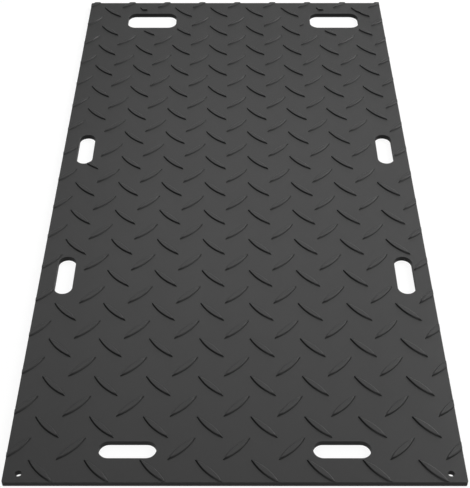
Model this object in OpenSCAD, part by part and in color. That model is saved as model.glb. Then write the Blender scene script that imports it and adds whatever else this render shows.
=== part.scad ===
// Ground protection mat: one moulded polyethylene sheet, 4 by 8 feet, laid over
// soft ground so that wheels and feet do not sink in or tear the turf.
// The upper face carries lens shaped tread lugs that stand at 45 degrees and
// turn the other way from one diagonal row to the next. Eight hand slots and two
// small pin holes go right through the sheet. The underside is flat.
// Units are millimetres. X is the width, Y runs from the front end to the back
// end, Z is up, and the underside lies on Z = 0 with the centre at the origin.

/* [Sheet] */
// Width of the sheet, across the short end
mat_width = 1220; // [900:5:1500]
// Length of the sheet, from the front end to the back end
mat_length = 2440; // [1800:5:3000]
// Thickness of the sheet without its treads
plate_thickness = 17; // [10:0.5:25]
// Radius of the four corners seen from above
corner_radius = 5; // [2:0.5:30]
// Width of the small bevel along the outer edges
edge_ease = 0.5; // [0.2:0.1:2]

/* [Treads] */
// Height of a tread lug above the sheet
tread_height = 4.5; // [2:0.1:8]
// Length of a lug from end to end, at its foot
tread_length = 102; // [60:1:120]
// How far each blunt end stops short of the point where the sides would meet
tread_point = 3; // [1:0.5:8]
// Greatest width of a lug, at its foot
tread_width = 20; // [12:0.5:30]
// How far the sides of a lug lean in from foot to shoulder
tread_lean = 1.6; // [0.5:0.1:3]
// Height and width of the bevel on the shoulder of a lug
tread_shoulder = 1.3; // [0.3:0.1:2]
// Distance between lugs of the same slant, across the sheet
tread_pitch_x = 148.2; // [110:0.1:180]
// Distance between lugs of the same slant, along the sheet
tread_pitch_y = 145.5; // [110:0.1:180]
// Centre of the back slanting lug next to mid-width, from mid-width
tread_start_x = 79.5; // [0:0.5:147]
// Centre of the first row of back slanting lugs, from the front edge
tread_start_y = 35; // [20:0.5:140]
// Least of a lug that is left standing where an edge cuts it off
tread_least = 6; // [3:0.5:15]

/* [Front slots] */
// Length of a front hand slot, across the sheet
front_slot_length = 156; // [100:1:200]
// Width of a front hand slot
front_slot_width = 55; // [40:1:80]
// From the side edge to the centre of a front slot
front_slot_inset = 322; // [200:1:340]
// From the front edge to the centres of the front slots
front_slot_y = 105; // [60:1:200]

/* [Side slots] */
// Length of a side hand slot, along the sheet
side_slot_length = 166; // [100:1:200]
// Width of a side hand slot
side_slot_width = 56; // [40:1:80]
// From the side edge to the centre line of the side slots
side_slot_inset = 78; // [50:1:150]
// From the front edge to the centres of the nearer side slots
near_side_slot_y = 778; // [500:1:900]
// From the front edge to the centres of the farther side slots
far_side_slot_y = 1424; // [1200:1:1600]

/* [Back slots] */
// Length of a back hand slot, across the sheet
back_slot_length = 200; // [120:1:240]
// Width of a back hand slot
back_slot_width = 110; // [60:1:130]
// Corner radius of a back hand slot
back_slot_radius = 35; // [20:1:50]
// From the left edge to the centre of the left back slot
back_left_slot_inset = 265; // [180:1:300]
// From the right edge to the centre of the right back slot
back_right_slot_inset = 201; // [180:1:300]
// From the back edge to the centres of the back slots
back_slot_y = 143; // [90:1:200]

/* [Slot rims] */
// Width of the small bevel round each slot, above and below
slot_ease = 0.5; // [0.2:0.1:2]
// Flat border without treads round the front and side slots
slot_border = 4; // [2:0.5:20]
// Flat border without treads round the two back slots
back_slot_border = 28; // [4:0.5:40]

/* [Pin holes] */
// Diameter of the small round hole near each front corner
pin_hole_diameter = 18; // [10:0.5:25]
// From the side edge to the centre of a pin hole
pin_hole_inset = 41; // [20:1:60]
// From the front edge to the centres of the pin holes
pin_hole_y = 28; // [20:1:60]
// Flat border without treads round a pin hole
pin_hole_border = 5; // [2:0.5:10]

/* [Hidden] */
$fn = 96;
side_x = mat_width / 2;
front_y = -mat_length / 2;
back_y = mat_length / 2;
top_z = plate_thickness + tread_height;
overlap = 1;
reach = 2;
half_lens = tread_width / 2;
half_length = tread_length / 2;
half_tips = half_length + tread_point;
// Radius of the two arcs that bound a lug at its foot
lens_radius = (half_tips * half_tips + half_lens * half_lens) / tread_width;
lens_shift = lens_radius - half_lens;
shoulder_z = tread_height - tread_shoulder;
lean_rate = tread_lean / shoulder_z;
// How far outside an edge a lug's centre may lie for enough of it to be left
tread_outside = half_length * cos(45) - tread_least;
columns_left = (-side_x - tread_outside - tread_start_x) / tread_pitch_x;
columns_right = (side_x + tread_outside - tread_start_x) / tread_pitch_x;
rows_front = (-tread_outside - tread_start_y) / tread_pitch_y;
rows_back = (mat_length + tread_outside - tread_start_y) / tread_pitch_y;
side_slot_x = side_x - side_slot_inset;
front_slot_x = side_x - front_slot_inset;
back_slot_left_x = -side_x + back_left_slot_inset;
back_slot_right_x = side_x - back_right_slot_inset;
back_slot_row = mat_length - back_slot_y;

// Outline of the sheet seen from above, drawn in by a margin
module sheet_outline(margin) {
    r = corner_radius;
    w = mat_width / 2 - margin;
    l = mat_length / 2 - margin;
    square([2 * w - 2 * r, 2 * l], center = true);
    square([2 * w, 2 * l - 2 * r], center = true);
    for (sx = [-1, 1]) {
        for (sy = [-1, 1]) {
            translate([sx * (w - r), sy * (l - r)])
                circle(r = r);
        }
    }
}

// Cross-section of a slab with bevelled edges, half width w
module bevelled_section(w) {
    e = edge_ease;
    t = plate_thickness;
    polygon([
        [-w + e, 0],
        [w - e, 0],
        [w, e],
        [w, t - e],
        [w - e, t],
        [-w + e, t],
        [-w, t - e],
        [-w, e]
    ]);
}

// The flat sheet with its rounded corners and bevelled edges
module sheet() {
    intersection() {
        linear_extrude(height = plate_thickness)
            sheet_outline(0);
        rotate([90, 0, 0])
            linear_extrude(height = mat_length + 2, center = true)
                bevelled_section(mat_width / 2);
        rotate([90, 0, 90])
            linear_extrude(height = mat_width + 2, center = true)
                bevelled_section(mat_length / 2);
    }
}

// Turned form that bounds a lug: radius at its foot, then the leaning wall and
// the shoulder above it. It starts a little below the top of the sheet
module tread_form(radius) {
    shoulder_radius = radius - tread_lean;
    translate([0, 0, plate_thickness])
        rotate_extrude()
            polygon([
                [0, -overlap],
                [radius + overlap * lean_rate, -overlap],
                [shoulder_radius, shoulder_z],
                [shoulder_radius - tread_shoulder, tread_height],
                [0, tread_height]
            ]);
}

// One long side of a lug, from the wide form on the other side of its middle
module tread_side(side) {
    translate([0, side * lens_shift, 0])
        tread_form(lens_radius);
}

// One lug along X: two long curved sides, and short blunt ends from a form
// turned about its middle
module tread_lug() {
    intersection() {
        tread_side(-1);
        tread_side(1);
        tread_form(half_length);
    }
}

// Whether a point u across and v along from a slot's centre lies in the slot
function inside(u, v, across, along, radius) =
    norm([
        max(0, abs(u) - across / 2 + radius),
        max(0, abs(v) - along / 2 + radius)
    ]) < radius;

function in_front_slot(x, y) =
    inside(
        abs(x) - front_slot_x,
        y - front_slot_y,
        front_slot_length,
        front_slot_width,
        front_slot_width / 2
    );

function in_side_slot(x, y, slot_y) =
    inside(
        abs(x) - side_slot_x,
        y - slot_y,
        side_slot_width,
        side_slot_length,
        side_slot_width / 2
    );

function in_back_slot(x, y, slot_x) =
    inside(
        x - slot_x,
        y - back_slot_row,
        back_slot_length,
        back_slot_width,
        back_slot_radius
    );

// Whether a lug centred x from mid-width and y from the front edge is kept:
// one whose centre falls in a slot is left out, stubs and all
function keeps_lug(x, y) =
    !in_front_slot(x, y)
    && !in_side_slot(x, y, near_side_slot_y)
    && !in_side_slot(x, y, far_side_slot_y)
    && !in_back_slot(x, y, back_slot_left_x)
    && !in_back_slot(x, y, back_slot_right_x);

// Lugs of one slant. They stand at whole steps of the pitch, moved by a shift
// that is a share of the pitch, wherever enough of a lug falls on the sheet
module tread_lattice(shift, slant) {
    for (i = [ceil(columns_left - shift) : floor(columns_right - shift)]) {
        for (j = [ceil(rows_front - shift) : floor(rows_back - shift)]) {
            x = tread_start_x + (i + shift) * tread_pitch_x;
            y = tread_start_y + (j + shift) * tread_pitch_y;
            if (keeps_lug(x, y)) {
                translate([x, front_y + y, 0])
                    rotate([0, 0, slant])
                        tread_lug();
            }
        }
    }
}

// All the lugs: the back slanting ones and, half a pitch away, the forward ones
module tread_field() {
    tread_lattice(0, -45);
    tread_lattice(0.5, 45);
}

// Rectangle with round corners
module round_rectangle(length, width, radius) {
    square([length - 2 * radius, width], center = true);
    if (width > 2 * radius) {
        square([length, width - 2 * radius], center = true);
    }
    for (sx = [-1, 1]) {
        for (sy = [-1, 1]) {
            translate([
                sx * (length / 2 - radius),
                sy * (width / 2 - radius)
            ])
                circle(r = radius);
        }
    }
}

// Slot with two round ends
module slot_shape(length, width) {
    square([length - width, width], center = true);
    for (side = [-1, 1]) {
        translate([side * (length - width) / 2, 0])
            circle(d = width);
    }
}

// Widening cone that bevels the round part of a slot's rim, at the underside
module bevel_cone(radius) {
    translate([0, 0, -overlap])
        cylinder(
            h = slot_ease + overlap,
            r1 = radius + slot_ease + overlap,
            r2 = radius
        );
}

// Widening bar along X that bevels the straight part of a slot's rim
module bevel_bar(length, width) {
    out = slot_ease + overlap;
    rotate([90, 0, 90])
        linear_extrude(height = length, center = true)
            polygon([
                [-width / 2 - out, -overlap],
                [width / 2 + out, -overlap],
                [width / 2, slot_ease],
                [-width / 2, slot_ease]
            ]);
}

// Bevel of a slot with two round ends
module slot_bevel(length, width) {
    bevel_bar(length - width, width);
    for (side = [-1, 1]) {
        translate([side * (length - width) / 2, 0, 0])
            bevel_cone(width / 2);
    }
}

// Bevel of a rectangular slot with four round corners
module window_bevel(length, width, radius) {
    bevel_bar(length - 2 * radius, width);
    rotate([0, 0, 90])
        bevel_bar(width - 2 * radius, length);
    for (sx = [-1, 1]) {
        for (sy = [-1, 1]) {
            translate([
                sx * (length / 2 - radius),
                sy * (width / 2 - radius),
                0
            ])
                bevel_cone(radius);
        }
    }
}

// Cut of one front or side slot, along X, with both rims bevelled
module slot_cut(length, width) {
    translate([0, 0, -reach])
        linear_extrude(height = plate_thickness + 2 * reach)
            slot_shape(length, width);
    slot_bevel(length, width);
    translate([0, 0, plate_thickness])
        mirror([0, 0, 1])
            slot_bevel(length, width);
}

// Cut of one back slot, along X, with both rims bevelled
module back_slot_cut() {
    translate([0, 0, -reach])
        linear_extrude(height = plate_thickness + 2 * reach)
            round_rectangle(back_slot_length, back_slot_width, back_slot_radius);
    window_bevel(back_slot_length, back_slot_width, back_slot_radius);
    translate([0, 0, plate_thickness])
        mirror([0, 0, 1])
            window_bevel(back_slot_length, back_slot_width, back_slot_radius);
}

// Puts a shape at the two front slots
module at_front_slots() {
    for (side = [-1, 1]) {
        translate([side * front_slot_x, front_y + front_slot_y, 0])
            children();
    }
}

// Puts a shape, turned to run along the sheet, at the four side slots
module at_side_slots() {
    for (side = [-1, 1]) {
        for (y = [near_side_slot_y, far_side_slot_y]) {
            translate([side * side_slot_x, front_y + y, 0])
                rotate([0, 0, 90])
                    children();
        }
    }
}

// Puts a shape at the two back slots
module at_back_slots() {
    for (x = [back_slot_left_x, back_slot_right_x]) {
        translate([x, front_y + back_slot_row, 0])
            children();
    }
}

// Puts a shape at the two pin holes near the front corners
module at_pin_holes() {
    for (side = [-1, 1]) {
        translate([side * (side_x - pin_hole_inset), front_y + pin_hole_y, 0])
            children();
    }
}

// The flat borders round slots and holes, where no lug stands
module tread_free_zones() {
    b = 2 * slot_border;
    c = 2 * back_slot_border;
    at_front_slots()
        slot_shape(front_slot_length + b, front_slot_width + b);
    at_side_slots()
        slot_shape(side_slot_length + b, side_slot_width + b);
    at_back_slots()
        round_rectangle(
            back_slot_length + c,
            back_slot_width + c,
            back_slot_radius + back_slot_border
        );
    at_pin_holes()
        circle(d = pin_hole_diameter + 2 * pin_hole_border);
}

// The lugs as they stand: cut off at the sheet's edges and at the flat borders
module treads() {
    difference() {
        intersection() {
            tread_field();
            linear_extrude(height = top_z + reach)
                sheet_outline(edge_ease);
        }
        linear_extrude(height = top_z + reach)
            tread_free_zones();
    }
}

// The whole mat
module ground_mat() {
    color([0.17, 0.175, 0.18])
        difference() {
            union() {
                sheet();
                treads();
            }
            at_front_slots()
                slot_cut(front_slot_length, front_slot_width);
            at_side_slots()
                slot_cut(side_slot_length, side_slot_width);
            at_back_slots()
                back_slot_cut();
            at_pin_holes()
                translate([0, 0, -reach])
                    cylinder(d = pin_hole_diameter, h = top_z + 2 * reach);
        }
}

ground_mat();
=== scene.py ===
"""Ground protection mat: dressed mesh, moulded plastic, stage and camera.

All lengths are in metres. The mat lies flat in the shared frame: its front
end is at -Y, its treads point up, and it rests on the plane Z = 0.
"""

import math

import bmesh
import bpy
import numpy as np
from mathutils import Matrix, Vector


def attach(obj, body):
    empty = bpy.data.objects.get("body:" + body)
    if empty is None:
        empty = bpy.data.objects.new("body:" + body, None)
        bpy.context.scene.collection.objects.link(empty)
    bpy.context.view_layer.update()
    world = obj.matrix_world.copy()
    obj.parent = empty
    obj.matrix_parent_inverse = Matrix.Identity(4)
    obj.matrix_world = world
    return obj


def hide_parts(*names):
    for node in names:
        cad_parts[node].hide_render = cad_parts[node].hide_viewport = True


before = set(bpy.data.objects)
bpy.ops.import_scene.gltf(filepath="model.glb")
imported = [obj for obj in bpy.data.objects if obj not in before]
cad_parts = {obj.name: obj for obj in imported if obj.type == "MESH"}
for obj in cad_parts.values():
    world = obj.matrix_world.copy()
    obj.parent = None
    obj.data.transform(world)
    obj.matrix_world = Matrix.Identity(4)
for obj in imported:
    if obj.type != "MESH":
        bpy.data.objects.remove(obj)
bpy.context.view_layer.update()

bl_info = {
    "name": "Ground protection mat",
    "version": (1, 0, 0),
    "blender": (4, 5, 0),
    "location": "View3D > Sidebar > Ground mat",
    "description": "Dresses the ground mat and sets up its studio",
    "category": "Object",
}

NODE_NAME = "ground_mat"
BODY = "root"

# The solid: its size, the distance at which loose corners are one, the least
# angle of an edge that is kept and of one that is a crease, how far under the
# treads' top an edge may lie, and how much the normal of a level or an
# upright face may point up
MAT_WIDTH, MAT_LENGTH = 1.22, 2.44
PLATE_TOP = 0.017
WELD = 2e-6
FLAT_ANGLE = math.radians(0.3)
CREASE_ANGLE = math.radians(30.0)
TOP_BAND = 1e-4
LEVEL_NORMAL = 0.999
UPRIGHT_NORMAL = 0.05

# The plastic: how far its colour wanders, clouds and flecks to a metre, the
# range that most values of a noise lie in, and the gloss of its plain faces
COLOUR_SPREAD = 0.14
CLOUD_SCALE = 5.0
FLECK_SCALE = 220.0
NOISE_LOW, NOISE_HIGH = 0.3, 0.7
PLAIN_GLOSS = 0.5

# The photograph: its longer side in pixels, and the camera that fits it. The
# camera's place is in widths of the mat, from the top of the sheet at the
# middle of its front end
PHOTO_HEIGHT = 488
FOCAL_PIXELS = 1097.651452
CAMERA_YAW, CAMERA_PITCH, CAMERA_ROLL = 0.001768, 0.740586, 0.001269
CAMERA_PLACE = (0.003631, -1.388687, 1.960140)
SENSOR = 36.0
FAR_CLIP = 500.0

# The floor lies just under the mat
FLOOR_LEVEL = -0.0005

# Where the nodes of a shader stand in the editor
NODE_START, NODE_STEP = -1200, 180

# The studio's lamps: name, place, size, brightness of the face, and target
LAMPS = (
    ("top_lamp", (0.0, 0.3, 5.0), (5.0, 6.0), 0.65, (0.0, 0.2, 0.0)),
    ("back_lamp", (0.0, 4.2, 4.2), (3.0, 3.0), 1.33, (0.0, 0.2, 0.0)),
    ("far_back_lamp", (0.0, 6.2, 3.8), (3.0, 2.0), 0.20, (0.0, 0.4, 0.0)),
    ("back_right_lamp", (2.2, 4.6, 4.4), (2.5, 2.5), 0.52, (0.0, 0.2, 0.0)),
    ("back_left_lamp", (-3.0, 3.8, 4.2), (3.0, 3.0), 0.97, (0.0, 0.2, 0.0)),
    ("right_lamp", (4.6, 3.2, 3.6), (3.0, 3.0), 5.15, (0.0, 0.2, 0.0)),
    ("high_right_lamp", (4.2, 1.0, 4.2), (4.0, 3.0), 1.60, (0.0, 0.2, 0.0)),
    ("far_right_lamp", (4.6, 4.6, 3.5), (3.0, 2.0), 4.80, (0.0, 0.4, 0.0)),
    ("low_back_lamp", (1.0, 7.5, 1.6), (7.0, 1.6), 1.05, (0.0, 0.5, 0.0)),
    ("low_right_lamp", (4.5, 6.0, 1.8), (5.0, 2.0), 2.15, (0.0, 0.4, 0.0)),
    ("front_lamp", (0.0, -5.5, 3.0), (5.0, 2.4), 1.15, (0.0, 0.0, 0.0)),
    ("front_right_lamp", (4.5, -3.0, 2.5), (4.0, 3.0), 1.00, (0.0, 0.0, 0.0)),
    ("near_front_lamp", (-1.6, -3.1, 1.5), (2.0, 1.2), 1.30, (0.1, -0.9, 0.0)),
    ("low_side_lamp", (5.2, 0.6, 0.9), (6.0, 1.4), 0.90, (0.0, 0.1, 0.0)),
)


# ---------------------------------------------------------------- settings


class GroundMatFinish(bpy.types.PropertyGroup):
    """Finish of the plastic"""

    colour: bpy.props.FloatVectorProperty(
        name="Colour",
        description="Colour of the black polyethylene",
        subtype="COLOR",
        size=3,
        min=0.0,
        max=1.0,
        default=(0.0125, 0.0125, 0.0125),
    )
    roughness: bpy.props.FloatProperty(
        name="Roughness",
        description="How satin the moulded faces are",
        min=0.1,
        max=1.0,
        default=0.36,
    )
    roughness_spread: bpy.props.FloatProperty(
        name="Roughness spread",
        description="How far the roughness wanders over the faces",
        min=0.0,
        max=0.3,
        default=0.05,
    )
    grain_size: bpy.props.FloatProperty(
        name="Grain size",
        description="Size of the fine grain of the mould",
        min=0.0002,
        max=0.01,
        default=0.0014,
        unit="LENGTH",
    )
    grain_depth: bpy.props.FloatProperty(
        name="Grain depth",
        description="Height of the fine grain",
        min=0.0,
        max=0.001,
        default=0.00022,
        precision=5,
        unit="LENGTH",
    )
    edge_roughness: bpy.props.FloatProperty(
        name="Edge roughness",
        description="How dull the upright edges of the sheet and slots are",
        min=0.1,
        max=1.0,
        default=0.6,
    )
    edge_gloss: bpy.props.FloatProperty(
        name="Edge gloss",
        description="How strongly the upright edges mirror the floor",
        min=0.0,
        max=1.0,
        default=0.18,
    )
    edge_round: bpy.props.FloatProperty(
        name="Edge round",
        description="Width of the soft round on the edges of the treads",
        min=0.0001,
        max=0.002,
        default=0.0008,
        precision=4,
        unit="LENGTH",
    )


class GroundMatStage(bpy.types.PropertyGroup):
    """Floor, background and lamps"""

    floor_colour: bpy.props.FloatVectorProperty(
        name="Floor colour",
        description="Colour that the floor shows to the light",
        subtype="COLOR",
        size=3,
        min=0.0,
        max=1.0,
        default=(0.15, 0.15, 0.15),
    )
    floor_glow: bpy.props.FloatProperty(
        name="Floor whiteness",
        description="White that the camera sees in the floor and behind it",
        min=0.0,
        max=1.0,
        default=0.9,
    )
    world_mirror: bpy.props.FloatProperty(
        name="Background in reflections",
        description="How much of the white behind the floor the gloss shows",
        min=0.0,
        max=1.0,
        default=0.1,
    )
    floor_size: bpy.props.FloatProperty(
        name="Floor size",
        description="Length of one side of the floor",
        min=5.0,
        max=400.0,
        default=160.0,
        unit="LENGTH",
    )
    lamp_level: bpy.props.FloatProperty(
        name="Lamp level",
        description="Brightness of all the lamps together",
        min=0.0,
        max=4.0,
        default=1.0,
    )


# ---------------------------------------------------------------- node helpers


class Nodes:
    """Adds nodes to one shader tree, in a row from left to right."""

    def __init__(self, tree):
        self.tree = tree
        self.column = 0

    def add(self, kind, settings=None, **inputs):
        """New node with settings; an input is a number or another's output."""
        node = self.tree.nodes.new(kind)
        node.location = (NODE_START + NODE_STEP * self.column, 0)
        self.column += 1
        for name, value in (settings or {}).items():
            setattr(node, name, value)
        for name, value in inputs.items():
            socket = node.inputs[name.replace("_", " ")]
            if isinstance(value, bpy.types.NodeSocket):
                self.tree.links.new(value, socket)
            else:
                socket.default_value = value
        return node

    def math(self, operation, *values):
        """Result of one operation on numbers or outputs."""
        node = self.add("ShaderNodeMath", {"operation": operation})
        for socket, value in zip(node.inputs, values):
            if isinstance(value, bpy.types.NodeSocket):
                self.tree.links.new(value, socket)
            else:
                socket.default_value = value
        return node.outputs[0]

    def spread(self, noise, low, high):
        """The usual range of a noise, stretched from low to high."""
        node = self.add("ShaderNodeMapRange")
        self.tree.links.new(noise, node.inputs["Value"])
        for name, number in (
            ("From Min", NOISE_LOW),
            ("From Max", NOISE_HIGH),
            ("To Min", low),
            ("To Max", high),
        ):
            node.inputs[name].default_value = number
        return node.outputs["Result"]


def polyethylene(name, settings, roughness, gloss):
    """Satin black plastic: cloudy tone, wandering gloss, fine grain.

    The colour goes from a darker to a lighter one with a cloudy noise. The
    roughness is its middle value, plus up to half the spread either way with
    the same clouds, plus up to a third of it with small flecks.
    """
    material = bpy.data.materials.new(name)
    material.use_nodes = True
    tree = material.node_tree
    nodes = Nodes(tree)
    shader = tree.nodes["Principled BSDF"]
    shader.inputs["Specular IOR Level"].default_value = gloss
    place = nodes.add("ShaderNodeTexCoord").outputs["Object"]

    cloud = nodes.add(
        "ShaderNodeTexNoise", Vector=place, Scale=CLOUD_SCALE, Detail=4.0
    )
    fleck = nodes.add(
        "ShaderNodeTexNoise", Vector=place, Scale=FLECK_SCALE, Detail=2.0
    )
    ramp = nodes.add("ShaderNodeMix", {"data_type": "RGBA"})
    tree.links.new(cloud.outputs["Fac"], ramp.inputs["Factor"])
    dark, light = 1.0 - COLOUR_SPREAD, 1.0 + COLOUR_SPREAD
    for name, share in (("A", dark), ("B", light)):
        tone = [share * value for value in settings.colour]
        ramp.inputs[name].default_value = (*tone, 1.0)
    tree.links.new(ramp.outputs["Result"], shader.inputs["Base Color"])

    half = settings.roughness_spread / 2
    third = settings.roughness_spread / 3
    patch = nodes.spread(
        cloud.outputs["Fac"], roughness - half, roughness + half
    )
    speck = nodes.spread(fleck.outputs["Fac"], -third, third)
    rough = nodes.math("ADD", patch, speck)
    tree.links.new(rough, shader.inputs["Roughness"])

    grain = nodes.add(
        "ShaderNodeTexNoise",
        Vector=place,
        Scale=1.0 / settings.grain_size,
        Detail=3.0,
        Roughness=0.6,
    )
    bump = nodes.add(
        "ShaderNodeBump",
        Strength=1.0,
        Distance=settings.grain_depth,
        Height=grain.outputs["Fac"],
    )
    tree.links.new(bump.outputs["Normal"], shader.inputs["Normal"])
    return material


def white_strength(nodes, seen_level, mirror_level):
    """Strength of a white that the camera and the reflections see.

    It is seen_level for camera and transmission rays, mirror_level for
    glossy rays and nothing for the light that falls on the object.
    """
    path = nodes.add("ShaderNodeLightPath").outputs
    seen = nodes.math(
        "MAXIMUM", path["Is Camera Ray"], path["Is Transmission Ray"]
    )
    plain_view = nodes.math("MULTIPLY", seen, seen_level)
    mirrored = nodes.math("MULTIPLY", path["Is Glossy Ray"], mirror_level)
    return nodes.math("ADD", plain_view, mirrored)


def stage_material(name, settings):
    """A pale lit floor that looks white, and still takes the shadow."""
    material = bpy.data.materials.new(name)
    material.use_nodes = True
    tree = material.node_tree
    tree.nodes.clear()
    nodes = Nodes(tree)
    white = white_strength(nodes, settings.floor_glow, settings.floor_glow)
    glow = nodes.add("ShaderNodeEmission", Strength=white)
    colour = (*settings.floor_colour, 1.0)
    lit = nodes.add("ShaderNodeBsdfDiffuse", Color=colour)
    total = nodes.add("ShaderNodeAddShader")
    tree.links.new(lit.outputs[0], total.inputs[0])
    tree.links.new(glow.outputs[0], total.inputs[1])
    output = nodes.add("ShaderNodeOutputMaterial")
    tree.links.new(total.outputs[0], output.inputs["Surface"])
    return material


# ---------------------------------------------------------------- pieces


def dressed_mesh(node, name):
    """Merged copy of the solid's mesh, its flat faces joined, edges weighted.

    A tread edge is a crease round the top of a lug, where nothing cuts the
    lug off. Its bevel weight is 1, and every other crease has none. Upright
    faces, which are the edges of the sheet and the walls of its slots, take
    the second material.
    """
    mesh = node.data.copy()
    mesh.name = name
    mesh.materials.clear()
    shape = bmesh.new()
    shape.from_mesh(mesh)
    bmesh.ops.remove_doubles(shape, verts=shape.verts, dist=WELD)
    bmesh.ops.dissolve_limit(
        shape, angle_limit=FLAT_ANGLE, verts=shape.verts, edges=shape.edges
    )
    shape.normal_update()
    tread_top = max(vertex.co.z for vertex in shape.verts)
    weight = shape.edges.layers.float.new("bevel_weight_edge")
    for edge in shape.edges:
        low = min(vertex.co.z for vertex in edge.verts)
        tilts = [abs(face.normal.z) for face in edge.link_faces]
        cut = any(tilt < UPRIGHT_NORMAL for tilt in tilts)
        crease = edge.calc_face_angle(0.0) > CREASE_ANGLE
        rounded = crease and not cut and low > tread_top - TOP_BAND
        edge[weight] = float(rounded)
        edge.smooth = rounded or not crease
    for face in shape.faces:
        tilt = abs(face.normal.z)
        face.smooth = tilt < LEVEL_NORMAL
        face.material_index = int(tilt < UPRIGHT_NORMAL)
    shape.to_mesh(mesh)
    shape.free()
    return mesh


class GROUNDMAT_OT_mat(bpy.types.Operator):
    """Makes the dressed mat from the solid and gives it its plastic"""

    bl_idname = "groundmat.mat"
    bl_label = "Dress the mat"

    def execute(self, context):
        settings = context.scene.groundmat_finish
        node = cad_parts[NODE_NAME]
        mesh = dressed_mesh(node, "mat_body")
        if len(mesh.polygons) == 0:
            raise RuntimeError("the mat has no faces")
        for name, roughness, gloss in (
            ("moulded_polyethylene", settings.roughness, PLAIN_GLOSS),
            ("edge_polyethylene", settings.edge_roughness, settings.edge_gloss),
        ):
            material = polyethylene(name, settings, roughness, gloss)
            mesh.materials.append(material)
        piece = bpy.data.objects.new("mat_body", mesh)
        context.scene.collection.objects.link(piece)
        bevel = piece.modifiers.new("tread edges", "BEVEL")
        bevel.limit_method = "WEIGHT"
        bevel.width = settings.edge_round
        bevel.segments = 2
        bevel.use_clamp_overlap = False
        bevel.harden_normals = True
        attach(piece, BODY)
        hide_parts(NODE_NAME)
        return {"FINISHED"}


def aimed(place, target):
    """Matrix that puts an object at a place with its -Z axis at a target."""
    place, target = Vector(place), Vector(target)
    turn = (target - place).to_track_quat("-Z", "Y")
    return Matrix.Translation(place) @ turn.to_matrix().to_4x4()


def photo_camera():
    """Matrix of the camera that fits the photograph.

    Yaw turns the view from +Y, pitch tips it down, roll turns the picture.
    """
    sin, cos = math.sin, math.cos
    yaw, pitch, roll = CAMERA_YAW, CAMERA_PITCH, CAMERA_ROLL
    ahead = np.array(
        [-sin(yaw) * cos(pitch), cos(yaw) * cos(pitch), -sin(pitch)]
    )
    right = np.array([cos(yaw), sin(yaw), 0.0])
    down = np.cross(ahead, right)
    across = right * cos(roll) + down * sin(roll)
    below = down * cos(roll) - right * sin(roll)
    x, y, z = CAMERA_PLACE
    place = np.array(
        [
            x * MAT_WIDTH,
            y * MAT_WIDTH - MAT_LENGTH / 2,
            z * MAT_WIDTH + PLATE_TOP,
        ]
    )
    matrix = np.eye(4)
    matrix[:3, :] = np.column_stack([across, -below, -ahead, place])
    return Matrix(matrix.tolist())


class GROUNDMAT_OT_stage(bpy.types.Operator):
    """Makes the floor, the world, the lamps and the camera"""

    bl_idname = "groundmat.stage"
    bl_label = "Set the stage"

    def execute(self, context):
        scene = context.scene
        settings = scene.groundmat_stage
        half = settings.floor_size / 2
        mesh = bpy.data.meshes.new("floor")
        signs = ((-1, -1), (1, -1), (1, 1), (-1, 1))
        corners = [(half * x, half * y, FLOOR_LEVEL) for x, y in signs]
        mesh.from_pydata(corners, [], [(0, 1, 2, 3)])
        mesh.materials.append(stage_material("pale_floor", settings))
        floor = bpy.data.objects.new("floor", mesh)
        scene.collection.objects.link(floor)

        world = bpy.data.worlds.new("studio")
        world.use_nodes = True
        tree = world.node_tree
        nodes = Nodes(tree)
        white = white_strength(
            nodes, settings.floor_glow, settings.world_mirror
        )
        background = tree.nodes["Background"]
        background.inputs["Color"].default_value = (1.0, 1.0, 1.0, 1.0)
        tree.links.new(white, background.inputs["Strength"])
        scene.world = world

        for name, place, size, brightness, target in LAMPS:
            light = bpy.data.lights.new(name, "AREA")
            light.shape = "RECTANGLE"
            light.size, light.size_y = size
            area = size[0] * size[1]
            light.energy = math.pi * area * brightness * settings.lamp_level
            lamp = bpy.data.objects.new(name, light)
            scene.collection.objects.link(lamp)
            lamp.matrix_world = aimed(place, target)

        data = bpy.data.cameras.new("camera")
        data.sensor_width = SENSOR
        data.lens = SENSOR * FOCAL_PIXELS / PHOTO_HEIGHT
        data.clip_end = FAR_CLIP
        camera = bpy.data.objects.new("camera", data)
        scene.collection.objects.link(camera)
        camera.matrix_world = photo_camera()
        scene.camera = camera
        scene.view_settings.view_transform = "Standard"
        return {"FINISHED"}


class GROUNDMAT_PT_panel(bpy.types.Panel):
    """Settings and steps of the ground mat"""

    bl_label = "Ground mat"
    bl_idname = "GROUNDMAT_PT_panel"
    bl_space_type = "VIEW_3D"
    bl_region_type = "UI"
    bl_category = "Ground mat"

    def draw(self, context):
        scene = context.scene
        for group in (scene.groundmat_finish, scene.groundmat_stage):
            box = self.layout.box()
            for name in group.__annotations__:
                box.prop(group, name)
        self.layout.operator(GROUNDMAT_OT_mat.bl_idname)
        self.layout.operator(GROUNDMAT_OT_stage.bl_idname)


CLASSES = (
    GroundMatFinish,
    GroundMatStage,
    GROUNDMAT_OT_mat,
    GROUNDMAT_OT_stage,
    GROUNDMAT_PT_panel,
)


def register():
    for item in CLASSES:
        bpy.utils.register_class(item)
    pointer = bpy.props.PointerProperty
    bpy.types.Scene.groundmat_finish = pointer(type=GroundMatFinish)
    bpy.types.Scene.groundmat_stage = pointer(type=GroundMatStage)


def unregister():
    del bpy.types.Scene.groundmat_stage
    del bpy.types.Scene.groundmat_finish
    for item in reversed(CLASSES):
        bpy.utils.unregister_class(item)


def main():
    """Makes the pieces and the stage."""
    register()
    bpy.ops.groundmat.mat()
    bpy.ops.groundmat.stage()


if __name__ == "__main__":
    main()
